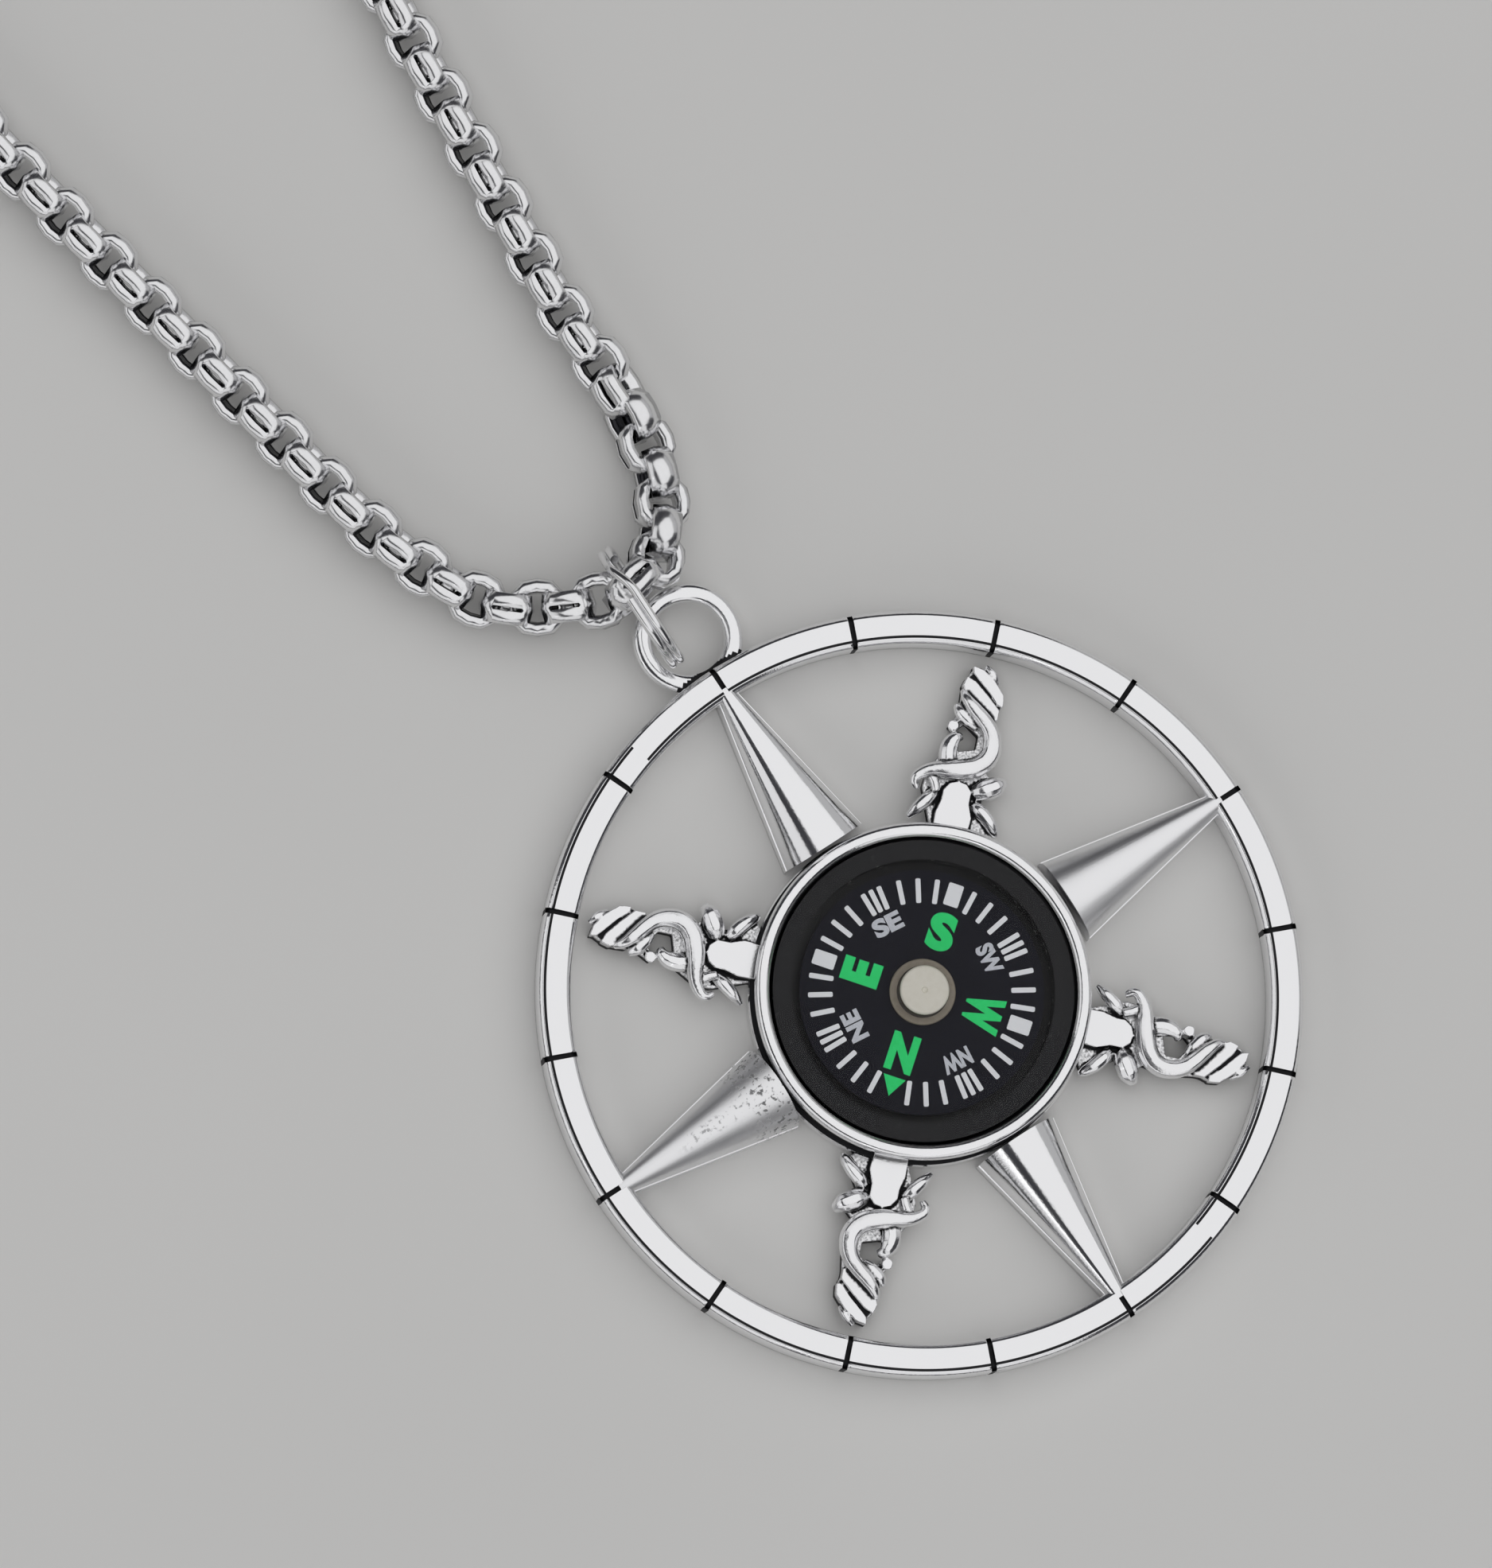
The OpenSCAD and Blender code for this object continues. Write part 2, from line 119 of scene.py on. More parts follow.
def pick(piece, kind, test):
    """Select the faces, edges or verts whose middle (in mm) and normal pass a test."""
    bpy.ops.mesh.select_mode(type=kind)
    bpy.ops.mesh.select_all(action="DESELECT")
    mesh = bmesh.from_edit_mesh(piece.data)
    parts = {"FACE": mesh.faces, "EDGE": mesh.edges, "VERT": mesh.verts}[kind]
    found = 0
    for part in parts:
        if kind == "FACE":
            middle, normal = part.calc_center_median(), part.normal
        elif kind == "EDGE":
            middle = (part.verts[0].co + part.verts[1].co) / 2
            normal = part.verts[1].co - part.verts[0].co
        else:
            middle, normal = part.co, part.normal
        chosen = bool(test(middle / MM, normal))
        part.select_set(chosen)
        found += chosen
    mesh.select_flush_mode()
    bmesh.update_edit_mesh(piece.data)
    return found


# %% [markdown]
# Every piece is finished in the same way. Its modifiers are applied at once, doubled points are
# merged, its faces are turned outwards, and its size is printed to be compared with the real one.

# %% Tools for finishing
def modify(piece, kind, **settings):
    """Add a modifier, set it and apply it."""
    only(piece)
    bpy.ops.object.modifier_add(type=kind)
    modifier = piece.modifiers[-1]
    for key, value in settings.items():
        setattr(modifier, key, value)
    bpy.ops.object.modifier_apply(modifier=modifier.name)


def outward(piece):
    """Merge doubled points and turn every face outwards."""
    edit(piece)
    bpy.ops.mesh.select_all(action="SELECT")
    bpy.ops.mesh.remove_doubles(threshold=same_place * MM)
    bpy.ops.mesh.normals_make_consistent(inside=False)
    close()


def smooth(piece, angle=35):
    only(piece)
    bpy.ops.object.shade_smooth_by_angle(angle=math.radians(angle))


def report(piece):
    mesh = piece.data
    mesh.calc_loop_triangles()
    low = [round(min(v.co[i] for v in mesh.vertices) / MM, 2) for i in range(3)]
    high = [round(max(v.co[i] for v in mesh.vertices) / MM, 2) for i in range(3)]
    print(f"{piece.name}: {len(mesh.loop_triangles)} triangles, from {low} to {high} mm")


# %% [markdown]
# ## Shader arithmetic
# A finish is a small graph of nodes. Writing it as plain arithmetic keeps it readable: the class
# below wraps one socket, and a sum or product of two such values adds the Math node that does it.
# Every other node comes from one method, which takes its settings first and then its sockets.

# %% The wire class
class Wire:
    """One socket of a finish, with arithmetic that adds Math nodes."""

    def __init__(self, tree, socket=None):
        self.tree = tree
        self.socket = socket

    def node(self, kind, settings=None, sockets=None, out=0):
        made = self.tree.nodes.new(kind)
        for key, value in (settings or {}).items():
            setattr(made, key, value)
        for key, value in (sockets or {}).items():
            if isinstance(value, Wire):
                self.tree.links.new(value.socket, made.inputs[key])
            else:
                made.inputs[key].default_value = value
        return Wire(self.tree, made.outputs[out])

    def math(self, operation, first, second):
        return self.node("ShaderNodeMath", {"operation": operation}, {0: first, 1: second})

    def __add__(self, other):
        return self.math("ADD", self, other)

    def __sub__(self, other):
        return self.math("SUBTRACT", self, other)

    def __rsub__(self, other):
        return self.math("SUBTRACT", other, self)

    def __mul__(self, other):
        return self.math("MULTIPLY", self, other)

    __radd__ = __add__
    __rmul__ = __mul__

    def rise(self, low, high):
        """0 below low, 1 above high and smooth between them."""
        return self.node("ShaderNodeMapRange", {"interpolation_type": "SMOOTHSTEP"},
                         {"Value": self, "From Min": low, "From Max": high})

    def noise(self, scale, detail):
        return self.node("ShaderNodeTexNoise", {}, {"Vector": self, "Scale": scale, "Detail": detail})

    def blend(self, first, second):
        """A colour between two colours, with this value as the share of the second."""
        return self.node("ShaderNodeMix", {"data_type": "RGBA"}, {0: self, 6: first, 7: second}, out=2)

    def bump(self, strength, height):
        """A normal from this value, with its relief in mm."""
        return self.node("ShaderNodeBump", {}, {"Strength": strength, "Distance": height * MM,
                                                "Height": self})


# %% [markdown]
# A finish starts from the standard shader and from the place of each point on the object, counted
# in millimetres, so that the size of a grain or a scratch can be written as a maker would.

# %% New finishes
def new_finish(name):
    """A new material, its shader node and the object's place in mm."""
    finish = bpy.data.materials.new(name)
    finish.use_nodes = True
    tree = finish.node_tree
    place = Wire(tree).node("ShaderNodeTexCoord", out="Object")
    place = place.node("ShaderNodeMapping", {}, {"Vector": place, "Scale": (1 / MM, 1 / MM, 1 / MM)})
    return finish, tree.nodes["Principled BSDF"], place


def dress(shader, values):
    """Set the shader's sockets to numbers, or link them."""
    for name, value in values.items():
        if isinstance(value, Wire):
            value.tree.links.new(value.socket, shader.inputs[name])
        else:
            shader.inputs[name].default_value = value


# %% [markdown]
# ## The floor and the lights
# The jewel lies on a plain pale table. Metal has no colour of its own to show: it shows the room.
# One large soft light hangs overhead, and every face that looks up mirrors it and turns white.
# Three lower lights stand side by side on the left. The dark gap between them and the large one
# draws the thin dark line along the rounded spikes. A broad faint light far to the right fills
# the slopes that look away from the camera.

# %% Floor
def pale_floor():
    finish, shader, place = new_finish("pale_floor")
    cloud = place.noise(0.02, 3.0)
    colour = cloud.blend((0.74, 0.735, 0.72, 1), (0.78, 0.775, 0.76, 1))
    dress(shader, {"Base Color": colour, "Roughness": 0.7})
    return finish


bpy.ops.mesh.primitive_plane_add(size=30)
floor = settle("floor")
floor.data.materials.append(pale_floor())
report(floor)

# %% Lights
def soft_light(name, place, size, brightness):
    """A rectangular light that looks at the pendant, with the brightness that a mirror shows of it."""
    look = (Vector((0, 0, 0)) - Vector(place)).to_track_quat("-Z", "Y").to_euler()
    bpy.ops.object.light_add(type="AREA", location=place, rotation=look)
    light = bpy.context.object
    light.name = name
    light.data.shape = "RECTANGLE"
    light.data.size, light.data.size_y = size
    light.data.energy = brightness * math.pi * size[0] * size[1]
    return light


# Places and sizes in metres. The overhead light faces straight down and hangs to the right.
overhead_height, overhead_shift = 1.6, 0.95
side_distance, side_height = 1.6, 0.70

overhead = soft_light("overhead", (0, 0, overhead_height), (3.6, 3.6), 0.82)
overhead.location.x = overhead_shift
for number, side in enumerate((-50, 0, 50)):
    angle = camera_side + math.radians(side)
    place = (side_distance * math.cos(angle), side_distance * math.sin(angle), side_height)
    soft_light(f"low_side_{number + 1}", place, (1.5, 1.05), 0.72)
soft_light("far_side", (3.2, 0.0, 0.9), (4.0, 1.6), 0.40)
world = bpy.data.worlds.new("room")
world.use_nodes = True
world.node_tree.nodes["Background"].inputs["Color"].default_value = (0.04, 0.04, 0.045, 1)
bpy.context.scene.world = world
bpy.context.scene.view_settings.view_transform = "Standard"

# %% [markdown]
# ## Cast silver
# The frame of the pendant is a plated casting. Its faces are polished bright, and every hollow is
# dark: tarnish left in it and painted shade, which is what makes the ornament readable. The shader
# can't find the hollows itself, so each mesh carries a painted value: 1 on open, lit metal and 0 in
# a hollow or a shaded place. The finish turns low values into dark, rough, dull metal. One recipe
# serves the whole casting: plain faces are bright, one spike is satin, one is pitted, and the
# scrolls are also darker at their foot, with painted shade.

# %% Cast silver
bright_silver = (0.90, 0.90, 0.91, 1)
# The dark colour of tarnish and of painted shade
tarnish_and_shade = (0.012, 0.012, 0.014, 1)


def cast_silver(name, polish=0.08, pits=False, deep=None):
    """Cast silver, dark with tarnish and painted shade where the mesh says so, and with painted shade below
    the height deep in mm.
    """
    finish, shader, place = new_finish(name)
    clean_and_lit = place.node("ShaderNodeAttribute", {"attribute_name": "clean_and_lit"}, out="Fac")
    grain = place.noise(7.0, 3.0)
    cloud = place.noise(0.45, 2.0)
    # The dark share: tarnish and painted shade where the painted value is low
    dark = (1 - clean_and_lit + (grain - 0.5) * 0.35).rise(0.32, 0.62)
    relief = grain * 0.6 + cloud * 0.4
    # Painted shade below the height deep: darker towards the foot
    if deep is not None:
        height = place.node("ShaderNodeSeparateXYZ", {}, {0: place}, out=2)
        dark = dark + (deep + (grain - 0.5) * 0.5 - height).rise(-0.1, 0.25)
    if pits:
        # The pits crowd at the foot of the spike that points to -X and thin out along its middle
        across = place.node("ShaderNodeSeparateXYZ", {}, {0: place}, out=1)
        along = place.node("ShaderNodeSeparateXYZ", {}, {0: place}, out=0) * -1
        near_foot = along.rise(13.5, 11.5)
        middle = (across * across).rise(0.30, 0.02) * along.rise(17.5, 15.5) * 0.6
        spots = place.noise(3.6, 3.0).rise(0.54, 0.66) * near_foot.math("MAXIMUM", near_foot, middle)
        dark = dark + spots * 0.7
        relief = relief - spots * 0.8
    dark = dark.math("MINIMUM", dark, 1)
    dress(shader, {
        "Base Color": dark.blend(bright_silver, tarnish_and_shade),
        "Metallic": 1 - dark * 0.5,
        "Roughness": polish + cloud * 0.08 + dark * 0.5,
        "Normal": relief.bump(0.25, 0.03),
    })
    return finish


silver = cast_silver("cast_silver")
satin_silver = cast_silver("satin_silver", polish=0.3)
pitted_silver = cast_silver("pitted_silver", polish=0.36, pits=True)
# The scrolls get painted shade below a height of 1 mm
scroll_silver = cast_silver("scroll_silver", polish=0.14, deep=1.0)
print("silver finishes:", silver.name, satin_silver.name, pitted_silver.name, scroll_silver.name)

# %% [markdown]
# The painted value is a colour on the corners of the faces, so that a hollow has a sharp edge.
# Each finished piece then gets its finish and rides on its body, which carries it when the card or
# the whole necklace moves.

# %% Tools for painting and riding
def add_clean_and_lit(piece):
    """Give a mesh the painted value, with all of it open metal."""
    only(piece)
    bpy.ops.geometry.color_attribute_add(name="clean_and_lit", domain="CORNER", data_type="FLOAT_COLOR",
                                         color=(1, 1, 1, 1))


def paint_dark(piece, test):
    """Mark the corners of the faces whose middle (in mm) and normal pass a test as dark: tarnish and painted
    shade.
    """
    add_clean_and_lit(piece)
    colours = piece.data.color_attributes["clean_and_lit"].data
    for face in piece.data.polygons:
        if test(face.center / MM, face.normal):
            for corner in face.loop_indices:
                colours[corner].color = (0, 0, 0, 1)


def hang(piece, body, finish):
    """Give a piece its finish and let it ride on its body."""
    piece.data.materials.clear()
    piece.data.materials.append(finish)
    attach(piece, body)
    report(piece)


# %% [markdown]
# ## Turned forms
# The rim, the cup and the cap are round. Each starts as an outline, drawn by extruding a single
# point from corner to corner, and is spun round the dial's axis as on a lathe.

# %% Tools for turned forms
def about_z(degrees):
    return Matrix.Rotation(math.radians(degrees), 4, "Z")


def drawn(name, points, closed=False):
    """A line through points (x, y, z) in mm, left open in edit mode."""
    corners = [Vector(point) for point in points]
    bpy.ops.mesh.primitive_plane_add(size=MM, location=corners[0] * MM)
    piece = settle(name)
    edit(piece)
    bpy.ops.mesh.select_mode(type="VERT")
    bpy.ops.mesh.select_all(action="SELECT")
    bpy.ops.mesh.merge(type="CENTER")
    for a, b in zip(corners, corners[1:]):
        bpy.ops.mesh.extrude_region_move(TRANSFORM_OT_translate={"value": (b - a) * MM})
    if closed:
        ends = (corners[0], corners[-1])
        pick(piece, "VERT", lambda p, n: min((p - end).length for end in ends) < same_place)
        bpy.ops.mesh.edge_face_add()
    bpy.ops.mesh.select_all(action="SELECT")
    return piece


def turned_piece(name, outline, steps, closed=False):
    """Spin an outline of (radius, height) in mm round the Z axis."""
    piece = drawn(name, [(radius, 0, height) for radius, height in outline], closed)
    bpy.ops.mesh.spin(steps=steps, angle=math.tau, center=(0, 0, 0), axis=(0, 0, 1))
    close()
    outward(piece)
    return piece


# %% [markdown]
# ## The rim
# The rim is a flat ring with a soft slope at both edges, and sixteen narrow grooves cross it. A
# thin dark line, a painted reflection, runs beside the outer slope on the left and beside the inner
# slope on the right, and the grooves are dark with tarnish and painted shade. The ring is spun in
# so many steps that one step is just a groove wide. The grooves are then made by picking every
# thirtieth step's faces and extruding them down.

# %% Rim
casting_low, casting_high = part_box("pendant_frame")
rim_r = casting_high.x / MM
rim_w = 1.95
rim_in = rim_r - rim_w
rim_t = 2.5
rim_line = 0.16
rim_slope = [(0.32, 0), (0.26, 0.03), (0.05, 0.2), (0, 0.32)]
rim_bevel = 0.2
groove_n, groove_steps = 16, 30
groove_h, groove_edge = 0.4, 0.045
rim_steps = groove_n * groove_steps
rim_outline = (
    [(rim_in, rim_bevel), (rim_in + rim_bevel, 0), (rim_r - rim_bevel, 0), (rim_r, rim_bevel)]
    + [(rim_r - inward, rim_t - down) for inward, down in reversed(rim_slope)]
    + [(rim_r - rim_slope[0][0] - rim_line, rim_t), (rim_in + rim_slope[0][0] + rim_line, rim_t)]
    + [(rim_in + inward, rim_t - down) for inward, down in rim_slope]
)
rim = turned_piece("rim", rim_outline, rim_steps, closed=True)
rim.data.transform(about_z(180 / rim_steps))
print("rim:", round(2 * rim_r, 2), "mm across, steps:", rim_steps)


# %% Grooves and the dark line
def in_groove(p):
    """Whether a point's angle lies in the step that becomes a groove."""
    step = 360 / groove_n
    off = (math.degrees(math.atan2(p.y, p.x)) - 90 + step / 2) % step - step / 2
    return abs(off) < 180 / rim_steps


edit(rim)
found = pick(rim, "FACE", lambda p, n: in_groove(p) and n.z > 0.1 and p.z > rim_t / 2)
bpy.ops.mesh.extrude_region_move(TRANSFORM_OT_translate={"value": (0, 0, -groove_h * MM)})
close()
outward(rim)
modify(rim, "BEVEL", width=groove_edge * MM, segments=2, limit_method="ANGLE", angle_limit=math.radians(40))
line_inset = rim_slope[0][0] + rim_line / 2
leaning = Vector((math.cos(camera_side), math.sin(camera_side)))


def in_painted_reflection(p):
    """Whether a point lies in the painted dark reflection line: near the outer edge on the camera's side,
    else the inner.
    """
    radius = rim_r - line_inset if p.xy.dot(leaning) > 0 else rim_in + line_inset
    return p.z > rim_t - 0.02 and abs(p.xy.length - radius) < rim_line / 2


# The grooves get tarnish and painted shade, and the line beside the slopes a painted dark reflection
paint_dark(rim, lambda p, n: in_groove(p) and p.z > 1 or in_painted_reflection(p))
smooth(rim)
hang(rim, "necklace", silver)
print("faces picked for the grooves:", found)

# %% [markdown]
# ## The cup and its bezel
# The cup holds the compass. It is turned from one outline: a foot, an upright wall, a round bead
# on top and the hollow inside. Tarnish and painted shade darken the corners above the foot and
# under the bead, and the inside.

# %% Cup
cup_in = 9.0
cup_wall_r = 9.75
cup_r = 9.92
cup_foot_r, cup_foot_h = 10.07, 1.2
cup_floor = 0.7
bezel_h = 3.5
bead = 0.45


def arc(x, z, radius, start, end, count):
    """Points of an arc in an outline, with its angles in degrees."""
    angles = [math.radians(start + (end - start) * i / count) for i in range(count + 1)]
    return [(x + radius * math.cos(a), z + radius * math.sin(a)) for a in angles]


cup_outline = (
    [(0, 0), (cup_foot_r - 0.15, 0), (cup_foot_r, 0.15), (cup_foot_r, cup_foot_h - 0.1),
     (cup_foot_r - 0.08, cup_foot_h), (cup_wall_r, cup_foot_h + 0.02), (cup_wall_r, cup_foot_h + 0.45),
     (cup_wall_r, bezel_h - 0.95)]
    + arc(cup_r - bead, bezel_h - bead, bead, -52, 190, 18)
    + [(cup_in, bezel_h - bead - 0.12), (cup_in, cup_floor), (0, cup_floor)]
)
cup = turned_piece("cup", cup_outline, 192)


def in_cup_hollow(p):
    """Whether a point lies above the foot, under the bead or inside the cup."""
    radius = p.xy.length
    above_foot = radius > cup_wall_r - 0.05 and cup_foot_h < p.z < cup_foot_h + 0.4
    under_bead = cup_wall_r - 0.05 < radius < cup_r - 0.06 and bezel_h - 0.9 < p.z < bezel_h - bead
    return above_foot or under_bead or radius < cup_in + 0.02


# Tarnish and painted shade above the foot, under the bead and inside the cup
paint_dark(cup, lambda p, n: in_cup_hollow(p))
smooth(cup)
hang(cup, "necklace", silver)

# %% [markdown]
# ## The spikes
# Each spike is half of a long cone on a low wall, with a narrow ledge where they meet. A cone is
# added lying down, its lower half is cut off with bisect, and the cut edge is extruded outwards
# for the ledge and down for the wall. One spike is modelled and three copies are turned round.

# %% Cone of one spike
spike_start = cup_r + 0.35
spike_end = rim_in + rim_w / 3
spike_w, spike_tip_w = 5.3, 1.0
spike_ledge = 0.06
spike_wall_h, spike_tip_h = 1.3, 2.0
spike_run = spike_end - spike_start
spike_slope = math.atan2(spike_tip_h - spike_wall_h, spike_run)
spike_middle = Vector(((spike_start + spike_end) / 2, 0, (spike_wall_h + spike_tip_h) / 2)) * MM

bpy.ops.mesh.primitive_cone_add(
    vertices=64, radius1=(spike_w / 2 - spike_ledge) * MM, radius2=(spike_tip_w / 2 - spike_ledge / 2) * MM,
    depth=spike_run / math.cos(spike_slope) * MM, location=spike_middle,
    rotation=(0, math.pi / 2 - spike_slope, 0))
spike = settle("spike_1")
edit(spike)
bpy.ops.mesh.select_all(action="SELECT")
bpy.ops.mesh.bisect(plane_co=spike_middle, plane_no=(-math.sin(spike_slope), 0, math.cos(spike_slope)),
                    clear_inner=True, use_fill=False)
close()
report(spike)

# %% Ledge and wall of the spike
edit(spike)
bpy.ops.mesh.select_mode(type="EDGE")
bpy.ops.mesh.select_all(action="DESELECT")
bpy.ops.mesh.select_non_manifold()
bpy.ops.mesh.extrude_edges_move(TRANSFORM_OT_translate={"value": (0, 0, 0)})
# The ledge is as wide at the tip as at the foot, so its two sides are moved apart, not scaled
for side in (-1, 1):
    cut_edge = bmesh.from_edit_mesh(spike.data)
    for vert in cut_edge.verts:
        if vert.select and vert.co.y * side > 0:
            vert.co.y += side * spike_ledge * MM
    bmesh.update_edit_mesh(spike.data)
bpy.ops.mesh.extrude_edges_move(TRANSFORM_OT_translate={"value": (0, 0, 0)})
bpy.ops.transform.resize(value=(1, 1, 0), center_override=(0, 0, 0))
bpy.ops.mesh.edge_face_add()
close()
outward(spike)
modify(spike, "BEVEL", width=0.05 * MM, segments=2, limit_method="ANGLE", angle_limit=math.radians(38))
# Painted shadow: the end face towards the cup, the dark seam beside the bezel
paint_dark(spike, lambda p, n: n.x < -0.6 and p.z > 0.2)
smooth(spike, 30)


# %% Four spikes
def copied(piece, name, place):
    """A copy with its own mesh, moved by a matrix."""
    twin = bpy.data.objects.new(name, piece.data.copy())
    bpy.context.scene.collection.objects.link(twin)
    twin.data.name = name
    twin.data.transform(place)
    return twin


spikes = [spike] + [copied(spike, f"spike_{k + 1}", about_z(90 * k)) for k in (1, 2, 3)]
for piece, finish in zip(spikes, (satin_silver, silver, pitted_silver, silver)):
    hang(piece, "necklace", finish)

# %% [markdown]
# ## The scrolled arms
# Between the spikes stand four cast scrolls: a tongue at the cup, leaves to both sides, an open
# bend and a twisted flame. A sculptor lays strips and flat pieces of wax side by side and melts
# them together. The same is done here: a strip is a curve with its own thickness along it, a
# broad form is a plate, all are joined, and a voxel remesh melts them into one skin. Dirty vertex
# colours then find the hollows, which turn dark with tarnish and painted shade.

# %% Strips and plates of one arm
# The strips of one arm, as rows of along, side, height and radius in mm, with the arm along +X
arm_strips = {
    "stem": [(11.85, 2.60, 1.35, 0.22), (12.35, 2.85, 1.50, 0.30), (12.85, 2.45, 1.60, 0.38),
             (13.15, 1.80, 1.70, 0.46), (13.30, 1.00, 1.75, 0.56), (13.50, 0.20, 1.75, 0.62),
             (13.85, -0.60, 1.70, 0.64), (14.50, -1.12, 1.65, 0.62), (15.30, -1.18, 1.65, 0.58),
             (16.00, -0.92, 1.75, 0.52), (16.60, -0.35, 1.85, 0.48), (17.10, 0.30, 1.90, 0.44),
             (17.65, 0.85, 1.75, 0.32), (18.10, 1.10, 1.45, 0.20)],
    "first_lobe": [(16.10, -0.10, 1.45, 0.28), (16.42, 0.45, 1.60, 0.42), (16.78, 0.98, 1.55, 0.40),
                   (17.20, 1.30, 1.35, 0.24)],
    "tip_lobe": [(18.85, -0.85, 1.05, 0.20), (19.40, -0.45, 1.35, 0.26), (19.80, 0.05, 1.20, 0.16)],
    "hook": [(13.50, 0.95, 1.35, 0.50), (14.10, 1.20, 1.45, 0.58), (14.80, 1.20, 1.50, 0.54),
             (15.25, 0.98, 1.50, 0.40), (15.42, 0.65, 1.35, 0.24)],
    "knob": [(15.85, 1.15, 0.80, 0.30), (15.92, 1.30, 1.70, 0.34)],
    "fold": [(11.90, 1.48, 1.60, 0.26), (12.50, 1.75, 1.65, 0.30), (13.00, 2.20, 1.50, 0.26)],
    "upper_leaf": [(11.90, 1.55, 1.20, 0.34), (11.30, 1.95, 1.45, 0.42), (10.75, 2.35, 1.40, 0.38),
                   (10.15, 2.78, 1.10, 0.20)],
    "curled_leaf": [(11.60, -0.90, 1.10, 0.36), (11.30, -1.35, 1.35, 0.44), (10.90, -1.85, 1.40, 0.42),
                    (10.40, -2.30, 1.20, 0.34), (10.10, -2.50, 1.00, 0.20)],
    "broad_leaf": [(12.30, -0.80, 1.15, 0.50), (12.60, -1.35, 1.40, 0.66), (12.95, -1.90, 1.35, 0.62),
                   (13.35, -2.35, 1.05, 0.34)],
}
# The broad flat forms, as their height and the corners of their outline, along and side in mm.
# The web lies behind all the others and ties them together.
arm_plates = {
    "web": (1.0, [(9.6, 1.3), (11.1, 1.9), (12.1, 2.3), (13.1, 2.2), (14.5, 1.45), (14.6, 0.6), (14.9, -0.35),
                  (15.7, -0.35), (16.3, 0.55), (15.6, 1.1), (15.9, 1.5), (17.1, 0.9), (18.0, 0.9),
                  (19.1, 0.45), (18.5, -0.65), (17.1, -1.15), (15.1, -1.5), (13.7, -1.2), (13.1, -1.85),
                  (12.1, -1.2), (11.1, -1.8), (10.1, -2.2), (9.6, -1.3)]),
    "flame": (1.42, [(16.6, -1.0), (17.5, -1.3), (18.3, -1.2), (19.05, -0.55), (19.5, 0.15), (19.55, 0.7),
                     (18.9, 1.0), (18.2, 1.15), (17.4, 1.1), (16.9, 0.5)]),
    "tongue": (1.72, [(9.6, -0.75), (9.6, 1.25), (10.7, 1.3), (11.5, 1.1), (12.1, 1.1), (12.55, 0.8),
                      (12.75, 0.3), (12.65, -0.2), (12.25, -0.55), (11.5, -0.55), (10.7, -0.85)]),
    "second_lobe": (1.75, [(16.7, -1.2), (17.35, -1.2), (18.05, -0.4), (18.75, 0.5), (18.95, 1.05),
                           (18.4, 1.2), (17.75, 0.85), (17.2, 0.1), (16.8, -0.6)]),
    "third_lobe": (1.6, [(17.6, -1.4), (18.3, -1.3), (19.05, -0.6), (19.55, 0.15), (19.65, 0.8), (19.2, 0.7),
                         (18.85, 0.3), (18.2, -0.5), (17.58, -1.1)]),
}
print("one arm:", len(arm_strips), "strips and", len(arm_plates), "plates")


# %% Tools for wax
def plate(name, corners, height):
    """A flat plate with these corners (x, y) in mm, from the floor up."""
    piece = drawn(name, [(x, y, 0) for x, y in corners], closed=True)
    bpy.ops.mesh.edge_face_add()
    bpy.ops.mesh.extrude_region_move(TRANSFORM_OT_translate={"value": (0, 0, height * MM)})
    close()
    outward(piece)
    return piece


def swept(name, rows, steps=6):
    """A round strip through rows of (x, y, z, radius) in mm."""
    bpy.ops.curve.primitive_bezier_curve_add(radius=MM)
    strip = bpy.context.object
    strip.data.dimensions = "3D"
    bpy.ops.object.mode_set(mode="EDIT")
    bpy.ops.curve.select_all(action="SELECT")
    bpy.ops.curve.delete(type="VERT")
    for row in rows:
        bpy.ops.curve.vertex_add(location=[x * MM for x in row[:3]])
    bpy.ops.curve.select_all(action="SELECT")
    bpy.ops.curve.handle_type_set(type="AUTOMATIC")
    close()
    spline = strip.data.splines[0]
    for point, row in zip(spline.bezier_points, rows):
        point.radius = row[3]
    strip.data.resolution_u = steps
    strip.data.bevel_depth = MM
    strip.data.bevel_resolution = 3
    strip.data.use_fill_caps = True
    only(strip)
    bpy.ops.object.convert(target="MESH")
    return settle(name)


def joined(name, pieces):
    """Join objects into the first one."""
    only(*pieces)
    bpy.ops.object.join()
    return settle(name)


# %% Scrolled arms
wax_voxel = 0.075
# Degrees: a point that bulges more than the first is open, one sunk below the second is hollow
open_angle, hollow_angle = 91.8, 84.6

strips = [swept(name, rows) for name, rows in arm_strips.items()]
plates = [plate(name, corners, height) for name, (height, corners) in arm_plates.items()]
arm = joined("arm_1", strips + plates)
arm.data.remesh_voxel_size = wax_voxel * MM
only(arm)
bpy.ops.object.voxel_remesh()
modify(arm, "SMOOTH", factor=0.5, iterations=4)
# The hollows that dirty vertex colours find get tarnish and painted shade
add_clean_and_lit(arm)
bpy.ops.paint.vertex_color_dirt(blur_strength=1, blur_iterations=4, clean_angle=math.radians(open_angle),
                                dirt_angle=math.radians(hollow_angle), dirt_only=False, normalize=False)
bpy.ops.object.shade_smooth()
arm.data.transform(about_z(45))
arms = [arm] + [copied(arm, f"arm_{k + 1}", about_z(90 * k)) for k in (1, 2, 3)]
for piece in arms:
    hang(piece, "necklace", scroll_silver)

# %% [markdown]
# ## The eyelet
# A plain round eyelet lies against the rim and carries the split ring. Its wire is a little
# flattened, above and below, and tarnish and painted shade lie where it meets the rim.

